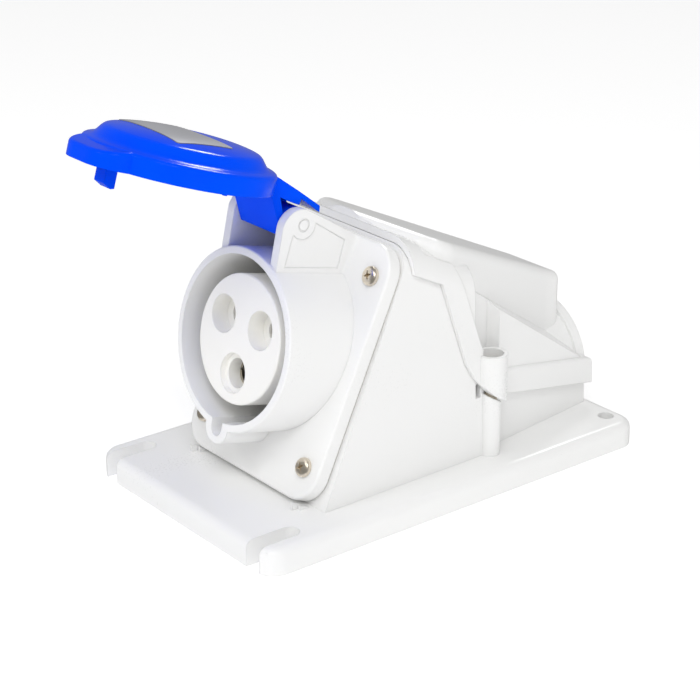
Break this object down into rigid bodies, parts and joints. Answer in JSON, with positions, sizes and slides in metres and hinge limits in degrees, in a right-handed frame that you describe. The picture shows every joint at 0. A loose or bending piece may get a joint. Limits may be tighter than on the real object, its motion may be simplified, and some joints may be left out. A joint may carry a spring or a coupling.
{
  "type": "industrial wall socket",
  "caption": "Surface mounted industrial wall socket with a tilted round shroud, a hinged lid held open and a wedge shaped wiring housing.",
  "frame": {"origin": "centre of the wall plate's wall face", "axes": "+Z away from the wall, +Y towards the cable end, +X to the right of somebody facing the socket"},
  "size_m": [0.087, 0.1688, 0.1187],
  "materials": {
    "housing_white": "smooth moulded plastic with a soft gloss",
    "insert_white": "smooth moulded plastic",
    "lid_blue": "smooth glossy plastic",
    "gasket_grey": "soft rubber",
    "screw_nickel": "nickel plated steel",
    "pin_steel": "plain steel",
    "contact_brass": "nickel free brass",
    "label_grey": "printed foil, plain"
  },
  "bodies": {
    "housing": {"base_housing": "housing_white", "wiring_cover": "housing_white", "cover_gasket": "gasket_grey", "cover_screws": "screw_nickel", "socket_housing": "housing_white", "flange_gasket": "gasket_grey", "flange_screws": "screw_nickel", "contact_insert": "insert_white", "terminal_carrier": "insert_white", "carrier_screws": "screw_nickel", "sleeve_line": "contact_brass", "sleeve_neutral": "contact_brass", "sleeve_earth": "contact_brass", "clamp_line": "contact_brass", "clamp_neutral": "contact_brass", "clamp_earth": "contact_brass", "clamp_screws": "screw_nickel", "hinge_pin": "pin_steel"},
    "lid_body": {"lid": "lid_blue", "lid_label": "label_grey", "lid_seal": "gasket_grey"}
  },
  "joints": [
    {"name": "lid_hinge", "type": "hinge", "parent": "housing", "child": "lid_body", "pos_m": [0, -0.03496, 0.08544], "axis": [1, 0, 0], "range_deg": [-11.75, 93.25]}
  ]
}
